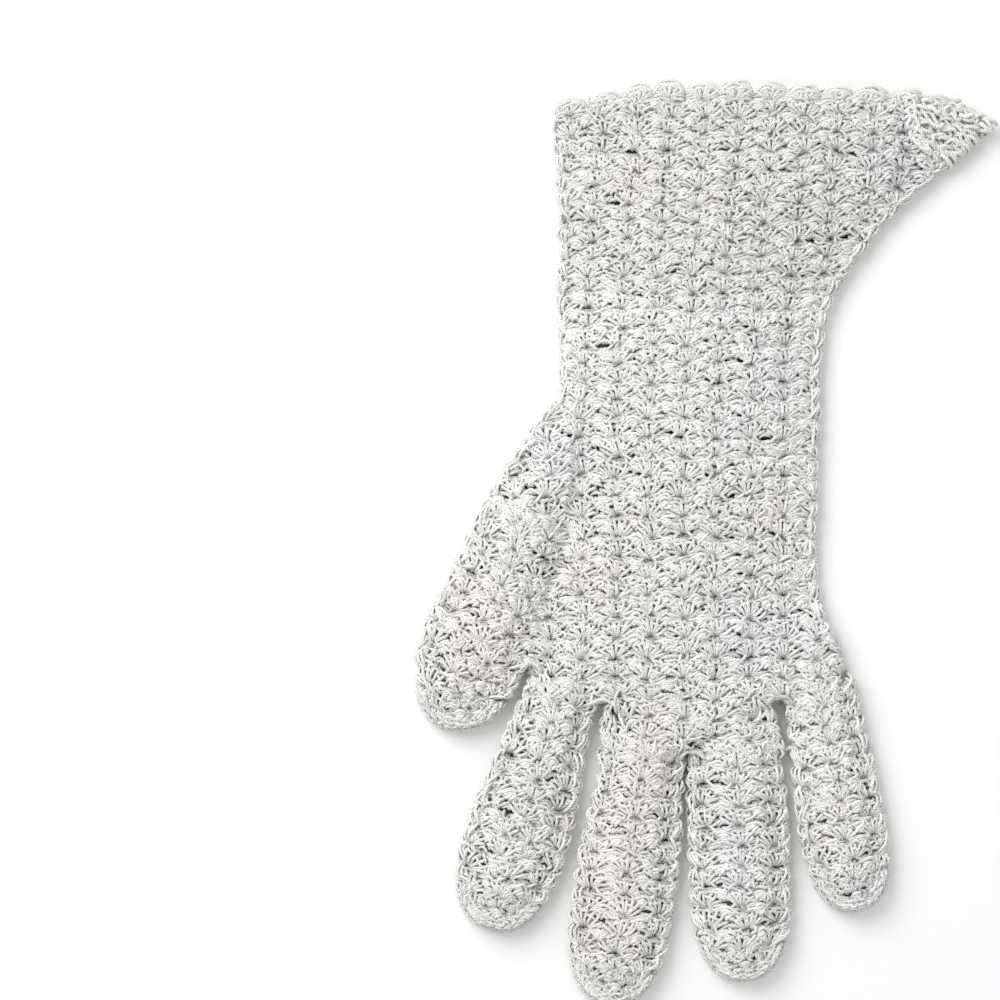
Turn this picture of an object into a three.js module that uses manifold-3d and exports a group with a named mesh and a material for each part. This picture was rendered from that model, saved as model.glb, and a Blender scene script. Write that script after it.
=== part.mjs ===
// Crochet gauntlet glove of cotton thread, lying flat with the fingers towards -Y and the
// flared cuff towards +Y. Every piece is a hollow worked tube with a flat underside, a low
// crown and rounded side folds. Lengths are in millimetres, +Z is up.
// The pieces are laid out from the middle of the wrist and then moved, so that the origin
// is under the middle of the whole glove, on the surface that it lies on.

import * as THREE from 'three';
import * as BufferGeometryUtils from 'three/addons/utils/BufferGeometryUtils.js';
import Module from 'manifold-3d';

// Fabric and joins between the worked sections
const wall = 1.8;
const seamGap = 0.3;
const foldRadius = 2.3;

// Hand, from the wrist line to the outer knuckles; the knuckle line reaches further towards
// the fingers in the middle
const handLength = 105.6;
const knuckleReach = 19.4;
const knuckleShape = 1.84;
const wristWidth = 71.6;
const knuckleWidth = 91.2;
const handHeight = 10.6;
const knuckleHeight = 9.6;

// Gauntlet cuff, from the wrist line to its mouth
const cuffLength = 51;
const mouthWidth = 120.5;
const cuffHeight = 10.4;
const mouthRise = 8.1;
const cornerDrop = 5.6;
const mouthLean = 21.25;

// Scalloped edging round the mouth
const edgingBand = 2.3;
const scallopHeight = 2.3;
const scallopPitch = 9.3;
const scallopSteps = 6;
const scallopFullness = 0.7;
const cornerTurn = 48;

// Fingers and thumb, the plain rounds that close each tip, and the tube's height
const fingerLength = 73.1;
const fingerWidth = 29.4;
const thumbLength = 26;
const thumbWidth = 30.6;
const fingerHeight = 9.4;
const tipHeight = 6.8;
const tipRounds = 10.2;
const roundEnd = 0.74;
const smallestRing = 0.16;
const fingerOverlap = 22;

// Shape of a cross-section's crown between the two folds: higher is more peaked
const crownPower = 0.85;

// One row for each finger and the thumb.
// length, width: shares of the longest finger and of the widest one, while the thumb has
// its own sizes; across: root centre, share of half the knuckle width; down: root centre,
// share of the hand length; tilt: degrees towards +X from -Y; bend: degrees that the tilt
// changes by at the tip; narrow: width at the root as a share of the width; fullAt: share
// of the length where it has its full width
const fingerTable = [
  { name: 'index', length: 0.964, width: 1,
    across: -0.786, down: 1.0305, tilt: -17, bend: 0, narrow: 0.7, fullAt: 0.64 },
  { name: 'middle', length: 1, width: 0.966,
    across: -0.276, down: 1.182, tilt: -8.1, bend: 0, narrow: 0.8, fullAt: 0.48 },
  { name: 'ring', length: 0.881, width: 0.952,
    across: 0.276, down: 1.196, tilt: 2.1, bend: 0, narrow: 0.95, fullAt: 0.2 },
  { name: 'little', length: 0.852, width: 0.823,
    across: 0.785, down: 1.04, tilt: 10.1, bend: 0, narrow: 0.86, fullAt: 0.5 },
];
const thumb = {
  name: 'thumb', node: 'thumb', length: thumbLength, width: thumbWidth,
  across: -1.308, down: 0.905, tilt: -23, bend: 21, narrow: 1, fullAt: 0.5,
};

// Side edges of the hand. down: share of the hand length; left, right: how far the edge
// has gone from half the wrist width (0) to half the knuckle width (1)
const handTable = [
  { down: 0, left: 0.173, right: 0.347 },
  { down: 0.08, left: 0.143, right: 0.143 },
  { down: 0.212, left: 0.06, right: 0.03 },
  { down: 0.398, left: 0, right: 0 },
  { down: 0.584, left: 0.204, right: -0.05 },
  { down: 0.743, left: 0.46, right: -0.08 },
  { down: 0.875, left: 0.745, right: 0.265 },
  { down: 1, left: 1, right: 0.776 },
];

// Gusset that widens the hand into the thumb. back: distance back from the thumb's root,
// as a share of the hand length; width: share of the thumb's width; height: share of the
// hand's height
const gussetTable = [
  { back: 0.7, width: 0.36, height: 0.66 },
  { back: 0.58, width: 0.6, height: 0.78 },
  { back: 0.4, width: 0.84, height: 0.88 },
  { back: 0.2, width: 0.95, height: 0.9 },
  { back: 0, width: 1, height: 0.886 },
];

// Side of the glove that the gusset takes, round by way of the thumb, to the fork of thumb
// and hand and back up to the wrist. across: share of half the knuckle width; down: share
// of the hand length
const gussetLine = [
  { across: -3, down: -0.1 },
  { across: -3, down: 1.4 },
  { across: -1.03, down: 1.4 },
  { across: -1.03, down: 0.975 },
  { across: -0.975, down: 0.937 },
  { across: -0.838, down: 0.872 },
  { across: -0.838, down: -0.1 },
];

// Stretch of each finger that is worked with the hand, behind its root. back: share of the
// overlap; width, height: shares of the finger's size at its root
const stubTable = [
  { back: 1, width: 0.42, height: 0.75 },
  { back: 0.6, width: 0.74, height: 0.92 },
  { back: 0.3, width: 0.94, height: 0.98 },
  { back: 0, width: 1, height: 1 },
];

// Side edges of the cuff. up: share of the cuff length; left: share of the way from the
// wrist's left edge to the mouth's left edge; right: the same on the right
const cuffTable = [
  { up: 0, left: 0, right: 0 },
  { up: 0.14, left: -0.45, right: 0.09 },
  { up: 0.28, left: -0.5, right: 0.2 },
  { up: 0.44, left: -0.4, right: 0.335 },
  { up: 0.62, left: -0.1, right: 0.53 },
  { up: 0.8, left: 0.35, right: 0.755 },
  { up: 1, left: 1, right: 1 },
];

// Line of the mouth. across: share of the mouth's width from the left; rise: share of the
// mouth's rise
const mouthTable = [
  { across: 0, rise: 0 },
  { across: 0.12, rise: 0.34 },
  { across: 0.25, rise: 0.85 },
  { across: 0.4, rise: 0.93 },
  { across: 0.7, rise: 0.95 },
  { across: 0.84, rise: 1 },
  { across: 0.9, rise: 0.9 },
  { across: 0.95, rise: 0.62 },
  { across: 1, rise: 0 },
];

// Points round one cross-section, by the size of the piece
const fingerCounts = { under: 3, fold: 3, over: 8 };
const handCounts = { under: 4, fold: 3, over: 14 };
const cuffCounts = { under: 12, fold: 3, over: 14 };

const wasm = await Module();
wasm.setup();

const yarn = { roughness: 0.95, metalness: 0 };
const materials = {
  cuff: new THREE.MeshStandardMaterial({ color: 0xcacac6, ...yarn }),
  edging: new THREE.MeshStandardMaterial({ color: 0xcecfcb, ...yarn }),
  hand: new THREE.MeshStandardMaterial({ color: 0xc6c6c2, ...yarn }),
  finger: new THREE.MeshStandardMaterial({ color: 0xc8c9c6, ...yarn }),
  tip: new THREE.MeshStandardMaterial({ color: 0xc3c6c4, ...yarn }),
};

const fingers = fingerTable.map((row) => ({
  ...row,
  node: `${row.name}_finger`,
  length: row.length * fingerLength,
  width: row.width * fingerWidth,
}));

const lerp = THREE.MathUtils.lerp;
const toRadians = THREE.MathUtils.degToRad;

// Value of one column of a table at a place between its rows, in a straight line between
function readTable(table, key, column, place) {
  const last = table.length - 1;
  const forward = table[last][key] > table[0][key];
  const rows = forward ? table : [...table].reverse();
  let i = 0;
  while (i < last - 1 && place > rows[i + 1][key]) {
    i += 1;
  }
  const span = rows[i + 1][key] - rows[i][key];
  const share = THREE.MathUtils.clamp((place - rows[i][key]) / span, 0, 1);
  return lerp(rows[i][column], rows[i + 1][column], share);
}

// One cross-section as a closed loop of { across, height } points. across runs from -1 to 1
// over the half width, so that a piece can bend the section; inset is 0 on the outside of
// the fabric and the wall on its inside
function crossSection(halfWidth, height, inset, counts) {
  const half = halfWidth - inset;
  const tall = height - 2 * inset;
  const radius = Math.min(foldRadius - inset, half * 0.9, tall * 0.45);
  const flat = half - radius;
  const loop = [];
  const push = (u, z) => loop.push({ across: u / halfWidth, height: inset + z });
  for (let i = 0; i <= counts.under; i += 1) {
    push(lerp(-flat, flat, i / counts.under), 0);
  }
  for (let i = 1; i < counts.fold; i += 1) {
    const turn = Math.PI * i / counts.fold;
    push(flat + radius * Math.sin(turn), radius * (1 - Math.cos(turn)));
  }
  for (let i = 0; i <= counts.over; i += 1) {
    const c = lerp(1, -1, i / counts.over);
    const crown = Math.pow(Math.max(0, 1 - c * c), crownPower);
    push(flat * c, 2 * radius + (tall - 2 * radius) * crown);
  }
  for (let i = 1; i < counts.fold; i += 1) {
    const turn = Math.PI * (1 - i / counts.fold);
    push(-flat - radius * Math.sin(turn), radius * (1 - Math.cos(turn)));
  }
  return loop;
}

// A list of points and triangles that closed shells are put together from
class Skin {
  constructor() {
    this.points = [];
    this.triangles = [];
  }

  ring(points) {
    const first = this.points.length;
    this.points.push(...points);
    return points.map((_, i) => first + i);
  }

  point(p) {
    this.points.push(p);
    return this.points.length - 1;
  }

  // Joins two rings of the same number of points. The rings run counter-clockwise seen
  // from beyond the second one
  band(a, b) {
    for (let i = 0; i < a.length; i += 1) {
      const j = (i + 1) % a.length;
      this.triangles.push([a[i], a[j], b[j]]);
      this.triangles.push([a[i], b[j], b[i]]);
    }
  }

  fan(ring, centre) {
    for (let i = 0; i < ring.length; i += 1) {
      const j = (i + 1) % ring.length;
      this.triangles.push([ring[i], ring[j], centre]);
    }
  }

  geometry() {
    const geometry = new THREE.BufferGeometry();
    const position = this.points.flatMap((p) => [p.x, p.y, p.z]);
    geometry.setAttribute('position', new THREE.Float32BufferAttribute(position, 3));
    geometry.setIndex(this.triangles.flat());
    return geometry;
  }
}

function centreOf(points) {
  const sum = new THREE.Vector3();
  points.forEach((p) => sum.add(p));
  return sum.divideScalar(points.length);
}

// A solid through a row of rings, closed flat at both ends, or at a pole where one is given
function loftSolid(rings, pole) {
  const skin = new Skin();
  const laid = rings.map((ring) => skin.ring(ring));
  const last = rings.length - 1;
  for (let i = 0; i < last; i += 1) {
    skin.band(laid[i], laid[i + 1]);
  }
  skin.fan([...laid[0]].reverse(), skin.point(centreOf(rings[0])));
  skin.fan(laid[last], skin.point(pole ?? centreOf(rings[last])));
  return skin.geometry();
}

// A hollow tube: outside rings, inside rings, open where the two start, and at the end
// either open too or closed at a pole on each side
function shellSolid(outside, inside, outerPole, innerPole) {
  const skin = new Skin();
  const outer = outside.map((ring) => skin.ring(ring));
  const inner = inside.map((ring) => skin.ring(ring));
  const outerLast = outer.length - 1;
  const innerLast = inner.length - 1;
  for (let i = 0; i < outerLast; i += 1) {
    skin.band(outer[i], outer[i + 1]);
  }
  for (let i = 0; i < innerLast; i += 1) {
    skin.band(inner[i + 1], inner[i]);
  }
  skin.band(inner[0], outer[0]);
  if (outerPole) {
    skin.fan(outer[outerLast], skin.point(outerPole));
    skin.fan([...inner[innerLast]].reverse(), skin.point(innerPole));
  } else {
    skin.band(outer[outerLast], inner[innerLast]);
  }
  return skin.geometry();
}

function toManifold(geometry) {
  geometry.deleteAttribute('normal');
  geometry.deleteAttribute('uv');
  const merged = BufferGeometryUtils.mergeVertices(geometry, 1e-5);
  const vertProperties = new Float32Array(merged.attributes.position.array);
  const triVerts = new Uint32Array(merged.index.array);
  return new wasm.Manifold(new wasm.Mesh({ numProp: 3, vertProperties, triVerts }));
}

function toGeometry(solid) {
  const mesh = solid.getMesh();
  const geometry = new THREE.BufferGeometry();
  const position = new Float32Array(mesh.vertProperties);
  geometry.setAttribute('position', new THREE.BufferAttribute(position, 3));
  geometry.setIndex(new THREE.BufferAttribute(new Uint32Array(mesh.triVerts), 1));
  return geometry;
}

// Half widths of the hand to the left and right of the wrist's middle line
function handEdges(down) {
  const wristHalf = wristWidth / 2;
  const flare = knuckleWidth / 2 - wristHalf;
  return {
    left: -wristHalf - flare * readTable(handTable, 'down', 'left', down),
    right: wristHalf + flare * readTable(handTable, 'down', 'right', down),
  };
}

function handHeightAt(down) {
  const ease = THREE.MathUtils.smoothstep(down, 0.6, 1);
  return lerp(handHeight, knuckleHeight, ease);
}

// A ring of the hand, across the glove at a share of the hand length
function handRing(down, inset) {
  const { left, right } = handEdges(down);
  const middle = (left + right) / 2;
  const half = (right - left) / 2;
  const loop = crossSection(half, handHeightAt(down), inset, handCounts);
  const reach = knuckleReach * Math.max(down, 0) ** 6;
  return loop.map((p) => {
    const ahead = reach * Math.max(0, 1 - Math.abs(p.across)) ** knuckleShape;
    return new THREE.Vector3(middle + p.across * half, -down * handLength - ahead, p.height);
  });
}

// A finger's middle line: place and direction at a distance from its root
function fingerAxis(finger, distance) {
  const start = new THREE.Vector2(
    finger.across * knuckleWidth / 2,
    -finger.down * handLength,
  );
  const steps = 12;
  const place = start.clone();
  const ahead = Math.max(distance, 0);
  for (let i = 0; i < steps; i += 1) {
    const share = (i + 0.5) / steps * ahead / finger.length;
    const tilt = toRadians(finger.tilt + finger.bend * share);
    place.x += Math.sin(tilt) * ahead / steps;
    place.y -= Math.cos(tilt) * ahead / steps;
  }
  const tilt = toRadians(finger.tilt + finger.bend * ahead / finger.length);
  const along = new THREE.Vector2(Math.sin(tilt), -Math.cos(tilt));
  place.addScaledVector(along, Math.min(distance, 0));
  return { place, along };
}

// Half width and height of a finger's tube at a distance from its root
function fingerSize(finger, distance) {
  const share = Math.max(distance, 0) / finger.length;
  const swell = THREE.MathUtils.smoothstep(share, 0, finger.fullAt);
  const width = finger.width * lerp(finger.narrow, 1, swell);
  const endLength = Math.min(roundEnd * finger.width, finger.length * 0.9);
  const intoEnd = Math.max(0, (distance - finger.length + endLength) / endLength);
  const round = Math.sqrt(Math.max(0, 1 - intoEnd * intoEnd));
  const height = lerp(fingerHeight, tipHeight, intoEnd * intoEnd);
  return { half: width / 2 * round, height, round };
}

function fingerRing(finger, distance, inset, size) {
  const { place, along } = fingerAxis(finger, distance);
  const { half, height } = size ?? fingerSize(finger, distance);
  const loop = crossSection(half, height, inset, fingerCounts);
  const side = new THREE.Vector2(-along.y, along.x);
  return loop.map((p) => new THREE.Vector3(
    place.x + side.x * p.across * half,
    place.y + side.y * p.across * half,
    p.height,
  ));
}

// Distance from the root at which the round end has narrowed to a given share
function ringAtRound(finger, round) {
  const endLength = Math.min(roundEnd * finger.width, finger.length * 0.9);
  return finger.length - endLength + endLength * Math.sqrt(1 - round * round);
}

function fingerPole(finger, distance, height) {
  const { place } = fingerAxis(finger, distance);
  return new THREE.Vector3(place.x, place.y, height / 2);
}

// The tube of a finger from its root to its plain tip, open at both ends
function fingerTube(finger) {
  const start = seamGap / 2;
  const end = finger.length - tipRounds - seamGap / 2;
  const steps = Math.max(2, Math.round((end - start) / 10));
  const places = Array.from({ length: steps + 1 }, (_, i) => lerp(start, end, i / steps));
  const outside = places.map((d) => fingerRing(finger, d, 0));
  const inside = places.map((d) => fingerRing(finger, d, wall));
  return shellSolid(outside, inside);
}

// The closed tip of a finger, open towards the tube
function fingerTip(finger) {
  const start = finger.length - tipRounds + seamGap / 2;
  const startRound = fingerSize(finger, start).round;
  const shares = [1, 0.86, 0.66, 0.4];
  const rounds = shares.map((share) => startRound * share);
  rounds.push(smallestRing);
  const outerPlaces = rounds.map((round) => ringAtRound(finger, round));
  outerPlaces[0] = start;
  const outside = outerPlaces.map((d) => fingerRing(finger, d, 0));
  const innerEnd = finger.length - wall;
  const squeeze = (d) => lerp(start, innerEnd, (d - start) / (finger.length - start));
  const inside = outerPlaces.map((d) => {
    const size = fingerSize(finger, d);
    const half = wall + (size.half - wall * size.round);
    return fingerRing(finger, squeeze(d), wall, { ...size, half });
  });
  const outerPole = fingerPole(finger, finger.length, tipHeight);
  const innerPole = fingerPole(finger, innerEnd, tipHeight);
  return shellSolid(outside, inside, outerPole, innerPole);
}

// The stretch of a finger that belongs to the hand, from inside it to the finger's root
function fingerStub(finger, inset, end) {
  const root = fingerSize(finger, 0);
  const rings = stubTable.map((row) => {
    const distance = row.back === 0 ? end : -row.back * fingerOverlap;
    const size = { half: row.width * root.half, height: row.height * root.height };
    return fingerRing(finger, distance, inset, size);
  });
  return loftSolid(rings);
}

// The gusset between the hand and the thumb's root
function gusset(inset, end) {
  const rings = gussetTable.map((row) => {
    const distance = row.back === 0 ? end : -row.back * handLength;
    const half = row.width * thumb.width / 2;
    const height = row.height * handHeight;
    return fingerRing(thumb, distance, inset, { half, height });
  });
  return loftSolid(rings);
}

// All that lies on the thumb's side of the gusset line, moved by an amount to the right
function gussetSide(shift) {
  const outline = gussetLine.map((row) => [
    row.across * knuckleWidth / 2 + shift,
    -row.down * handLength,
  ]);
  const height = 2 * handHeight;
  const block = wasm.Manifold.extrude([outline], height);
  return block.translate([0, 0, -handHeight / 2]);
}

// The hand: palm and back from the wrist to the finger roots, hollow, open at the wrist and
// at the five roots, with webs between the fingers. The gusset towards the thumb is cut
// from it as a piece of its own
function handGeometries() {
  const rootEnd = -seamGap / 2;
  const wristEnd = seamGap / 2 / handLength;
  const downs = handTable.map((row) => row.down);
  const outerDowns = downs.map((down) => Math.max(down, wristEnd));
  const innerDowns = downs.map((down) => Math.min(down, 1 - wall / handLength));
  innerDowns[0] = -wall / handLength;
  let outside = toManifold(loftSolid(outerDowns.map((down) => handRing(down, 0))));
  let inside = toManifold(loftSolid(innerDowns.map((down) => handRing(down, wall))));
  fingers.forEach((finger) => {
    outside = outside.add(toManifold(fingerStub(finger, 0, rootEnd)));
    inside = inside.add(toManifold(fingerStub(finger, wall, wall)));
  });
  outside = outside.add(toManifold(gusset(0, rootEnd)));
  inside = inside.add(toManifold(gusset(wall, wall)));
  const fabric = outside.subtract(inside);
  return {
    hand: toGeometry(fabric.subtract(gussetSide(seamGap / 2))),
    gusset: toGeometry(fabric.intersect(gussetSide(-seamGap / 2))),
  };
}

// Side edges of the cuff at a share of its length
function cuffEdges(up) {
  const wrist = handEdges(0);
  const mouthLeft = mouthLean - mouthWidth / 2;
  const mouthRight = mouthLean + mouthWidth / 2;
  const leftShare = readTable(cuffTable, 'up', 'left', up);
  const rightShare = readTable(cuffTable, 'up', 'right', up);
  return {
    left: lerp(wrist.left, mouthLeft, leftShare),
    right: lerp(wrist.right, mouthRight, rightShare),
  };
}

// A point of the cuff: up is the share of its length, across runs from -1 to 1. The mouth
// rises in the middle, and its right corner hangs lower than the left one
function cuffPoint(up, across, height) {
  const { left, right } = cuffEdges(up);
  const share = (across + 1) / 2;
  const rise = mouthRise * readTable(mouthTable, 'across', 'rise', share);
  const drop = cornerDrop * share;
  const y = up * cuffLength + up * (rise - drop);
  return new THREE.Vector3(lerp(left, right, share), y, height);
}

// A cross-section of the cuff as points in space, with how far across it each one lies
function cuffLoop(up, inset) {
  const { left, right } = cuffEdges(up);
  const loop = crossSection((right - left) / 2, cuffHeight, inset, cuffCounts);
  return loop.map((p) => ({ across: p.across, point: cuffPoint(up, p.across, p.height) }));
}

function cuffRing(up, inset) {
  return cuffLoop(up, inset).map((p) => p.point).reverse();
}

function cuffGeometry() {
  const start = seamGap / 2 / cuffLength;
  const end = 1 - seamGap / 2 / cuffLength;
  const places = cuffTable.map((row) => THREE.MathUtils.clamp(row.up, start, end));
  const outside = places.map((up) => cuffRing(up, 0));
  const inside = places.map((up) => cuffRing(up, wall));
  return shellSolid(outside, inside);
}

// The edging grows out of the mouth: straight up over most of it and turning outwards at
// the right corner
function edgingPoint(point, across, rise) {
  const share = (across + 1) / 2;
  const turn = toRadians(cornerTurn * share ** 5);
  return new THREE.Vector3(
    point.x + Math.sin(turn) * rise,
    point.y + Math.cos(turn) * rise,
    point.z,
  );
}

// Each straight stretch of the mouth gets as many steps as its scallops need
function edgingGeometry() {
  const loops = [0, wall].map((inset) => cuffLoop(1, inset));
  const outer = loops[0];
  const after = (i) => (i + 1) % outer.length;
  const lengths = outer.map((p, i) => p.point.distanceTo(outer[after(i)].point));
  const round = lengths.reduce((sum, length) => sum + length, 0);
  const scallops = Math.round(round / scallopPitch);
  const rings = loops.map((loop) => {
    const low = [];
    const high = [];
    let gone = 0;
    loop.forEach((from, i) => {
      const to = loop[after(i)];
      const steps = Math.max(1, Math.round(lengths[i] / scallopPitch * scallopSteps));
      for (let k = 0; k < steps; k += 1) {
        const point = from.point.clone().lerp(to.point, k / steps);
        const across = lerp(from.across, to.across, k / steps);
        const phase = (gone + lengths[i] * k / steps) / round * scallops;
        const arc = Math.abs(Math.sin(Math.PI * phase)) ** scallopFullness;
        low.push(edgingPoint(point, across, seamGap / 2));
        high.push(edgingPoint(point, across, edgingBand + scallopHeight * arc));
      }
      gone += lengths[i];
    });
    return [low.reverse(), high.reverse()];
  });
  return shellSolid(rings[0], rings[1]);
}

const glove = new THREE.Group();

function addPiece(name, geometry, material) {
  geometry.computeVertexNormals();
  const mesh = new THREE.Mesh(geometry, material);
  mesh.name = name;
  glove.add(mesh);
  return mesh;
}

addPiece('cuff', cuffGeometry(), materials.cuff);
addPiece('cuff_edging', edgingGeometry(), materials.edging);
const hand = handGeometries();
addPiece('hand', hand.hand, materials.hand);
addPiece('thumb_gusset', hand.gusset, materials.hand);
[...fingers, thumb].forEach((finger) => {
  addPiece(finger.node, fingerTube(finger), materials.finger);
  addPiece(`${finger.name}_tip`, fingerTip(finger), materials.tip);
});

// The origin goes under the middle of the glove's box
const box = new THREE.Box3().setFromObject(glove);
const middle = box.getCenter(new THREE.Vector3());
glove.position.set(-middle.x, -middle.y, -box.min.z);

const group = new THREE.Group();
group.add(glove);

export default group;
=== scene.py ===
"""Crochet glove lying flat: cotton stitches over the CAD glove, with a floor, light and camera."""

import math
from functools import cache, partial

import bpy
import numpy as np
from bpy.props import FloatProperty, FloatVectorProperty, IntProperty, PointerProperty
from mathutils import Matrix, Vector
from mathutils.bvhtree import BVHTree


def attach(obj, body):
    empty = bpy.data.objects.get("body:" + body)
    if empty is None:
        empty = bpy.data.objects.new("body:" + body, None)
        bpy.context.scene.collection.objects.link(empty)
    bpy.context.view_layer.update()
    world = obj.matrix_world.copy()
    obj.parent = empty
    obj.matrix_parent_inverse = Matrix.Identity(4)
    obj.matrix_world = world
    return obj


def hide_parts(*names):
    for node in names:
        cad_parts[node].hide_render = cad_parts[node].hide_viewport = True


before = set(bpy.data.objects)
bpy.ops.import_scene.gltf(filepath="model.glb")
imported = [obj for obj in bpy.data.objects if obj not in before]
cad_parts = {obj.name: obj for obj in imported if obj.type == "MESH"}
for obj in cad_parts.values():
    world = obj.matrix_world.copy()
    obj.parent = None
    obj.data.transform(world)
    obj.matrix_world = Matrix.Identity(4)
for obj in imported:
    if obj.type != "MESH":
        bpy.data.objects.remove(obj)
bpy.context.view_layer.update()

bl_info = {
    "name": "Crochet glove",
    "version": (1, 0, 0),
    "blender": (4, 5, 0),
    "location": "View3D > Sidebar > Glove",
    "description": "Lays cotton stitches over the plain shells of a crochet glove",
    "category": "Object",
}

# Sizes in this file are millimetres, and a mesh is scaled to metres when it is made
TO_METRES = 0.001
FOLD_RADIUS = 2.3
# How much farther it is to the middle of a fold over the cloth than straight across
FOLD_EXTRA = FOLD_RADIUS * (math.pi / 2 - 1)
# Middle line of the cuff and the hand, and the wrist, from which their rows are measured
MIDDLE_X = -3.81
WRIST_Y = 68.08
# The floor, the soft light and the camera, in metres
FLOOR_SIZE = 6.0
KEY_SIZE = 0.8
KEY_PLACE = Vector((-0.55, 0.55, 0.75))
VIEW_CENTRE = (-0.05701, 0.01208)
SENSOR = 36.0
FAR_END = 20.0

# Fingers: root x, root y, tilt, bend and length, in degrees and millimetres, and the place
# along the finger where its left and its right side begin to lie free
FINGERS = {
    "index": (-39.65, -40.74, -17.0, 0.0, 70.47, -3.5, 0.0),
    "middle": (-16.40, -56.74, -8.1, 0.0, 73.1, -11.8, 0.0),
    "ring": (8.77, -58.21, 2.1, 0.0, 64.4, 0.0, -13.9),
    "little": (31.98, -41.74, 10.1, 0.0, 62.28, 0.0, 0.0),
    "thumb": (-63.45, -27.49, -23.0, 21.0, 26.0, 0.0, 0.0),
}
# How far the stitches reach past the shells on one side of a finger: the side, distances
# along the finger, and the reach at each
SWELL = {
    "middle": (-1, (0, 8), (2.4, 0.0)),
    "ring": (1, (-9, -3, 10, 18), (0.2, -0.7, -0.6, 0.0)),
    "little": (-1, (-3, 2, 16, 34), (0.4, -0.6, -0.6, 0.0)),
}
# Forks between the fingers: left end, right end and distance up, seen from above
FORKS = [(-49.2, -47.4, -33.6), (-30.8, -25.8, -44.0), (-5.2, -1.8, -58.2), (19.0, 22.8, -43.2)]
TIP_LENGTH = 10.2
# The round end of a finger: its length as a share of the width, and how full its corners are
ROUND_END = 0.74
FULLNESS = 2.3
# The stitches of the gusset follow the thumb this far up and this far across
GUSSET_TOP = -34.0
GUSSET_SIDE = 15.5
# How far inside the middle of a fold the cloth is looked up for a stitch that turns round it,
# and how far past it, in stitch widths, the middle of a stitch may lie
FOLD_INSET = 3.2
PAST_FOLD = 0.3
HAND_NODES = ["hand", "thumb_gusset"]
# Rows of the body, in distances down from the wrist: the mouth, the stretch on which the rows
# grow from the cuff's to the hand's, the line from which they are counted, and the knuckles
MOUTH = -62.0
GROWTH = (10.0, 30.0)
FIRST_LINE = 44.5
KNUCKLES = 126.0
# Where the first column of stitches stands, on the front and on the back
COLUMNS = (16.52, 11.8)
# Widths of a stitch on a finger, on the gusset and on a tip, of a scallop, and the tips' rows
FINGER_STITCH = 8.8
GUSSET_STITCH = 8.9
TIP_STITCH = 6.4
TIP_ROW = 4.6
SCALLOP_WIDTH = 9.3
# Lengths of one plain stitch round the tips and on the turned corner
TIP_LINK = 2.5
CORNER_LINK = 3.2
# Rounds of the tips, in distances over the cloth from the middle of the fold
ROUNDS = (-4.4, -2.2, 0.0, 2.2, 4.4)
# A strand with a longer step than this is torn across a gap, and is left out
LONGEST_STEP = 4.5
# Each strand is a tube with four sides
SIDES = 4

# Strands of one shell stitch. Each point is across (share of the stitch width), up (share of
# the row height) and depth under the surface in millimetres. The fan spreads from the dimple
# at its foot, and the arches stand between two fans
FAN = [
    [(-0.07, 0.13, -1.6), (-0.26, 0.30, -0.55), (-0.50, 0.50, -0.70)],
    [(-0.06, 0.17, -1.6), (-0.20, 0.42, -0.35), (-0.40, 0.70, -0.55)],
    [(-0.04, 0.20, -1.7), (-0.14, 0.50, -0.30), (-0.27, 0.86, -0.60)],
    [(-0.02, 0.18, -1.7), (-0.04, 0.52, -0.25), (-0.08, 0.97, -0.80)],
    [(0.02, 0.20, -1.7), (0.05, 0.54, -0.25), (0.06, 0.95, -0.80)],
    [(0.04, 0.18, -1.7), (0.14, 0.48, -0.30), (0.26, 0.84, -0.60)],
    [(0.06, 0.18, -1.6), (0.21, 0.40, -0.35), (0.39, 0.68, -0.55)],
    [(0.07, 0.12, -1.6), (0.27, 0.28, -0.55), (0.51, 0.46, -0.70)],
]
ARCHES = [
    [(0.26, 0.84, -1.0), (0.37, 0.99, -0.35), (0.50, 1.06, -0.15), (0.63, 0.99, -0.35),
     (0.74, 0.84, -1.0)],
    [(0.33, 0.76, -1.0), (0.49, 0.92, 0.0), (0.67, 0.74, -1.0)],
]
# Short threads that fill the lump between two fans
LUMP = [
    [(0.37, 0.62, -0.9), (0.44, 0.76, -0.05), (0.56, 0.86, -0.40)],
    [(0.45, 0.54, -0.9), (0.53, 0.70, -0.05), (0.64, 0.80, -0.50)],
    [(0.64, 0.56, -0.9), (0.56, 0.66, -0.25), (0.42, 0.72, -0.60)],
    [(0.30, 0.16, -1.4), (0.49, 0.30, -0.80), (0.70, 0.14, -1.4)],
]
BRIDGES = [
    [(-0.32, -0.10, -1.15), (-0.22, 0.10, -0.65), (-0.13, 0.30, -1.0)],
    [(0.33, -0.08, -1.15), (0.22, 0.08, -0.65), (0.12, 0.28, -1.0)],
]
CHAIN = [
    (-0.5, 0.98, -0.65), (-0.38, 0.88, -0.45), (-0.22, 0.94, -0.75), (-0.10, 0.86, -0.95),
    (0.02, 0.92, -1.1), (0.14, 0.86, -0.90), (0.27, 0.94, -0.60), (0.40, 0.87, -0.50),
    (0.5, 0.98, -0.65),
]
UNDER = [
    [(-0.5, 0.30, -1.55), (-0.25, 0.46, -1.45), (0.0, 0.34, -1.75), (0.25, 0.46, -1.45),
     (0.5, 0.30, -1.55)],
    [(-0.5, 0.60, -1.45), (-0.25, 0.76, -1.55), (0.0, 0.62, -1.55), (0.25, 0.76, -1.55),
     (0.5, 0.60, -1.45)],
    [(-0.5, 1.10, -1.35), (-0.25, 1.06, -1.40), (0.0, 0.98, -2.00), (0.25, 1.06, -1.40),
     (0.5, 1.10, -1.35)],
]
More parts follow.
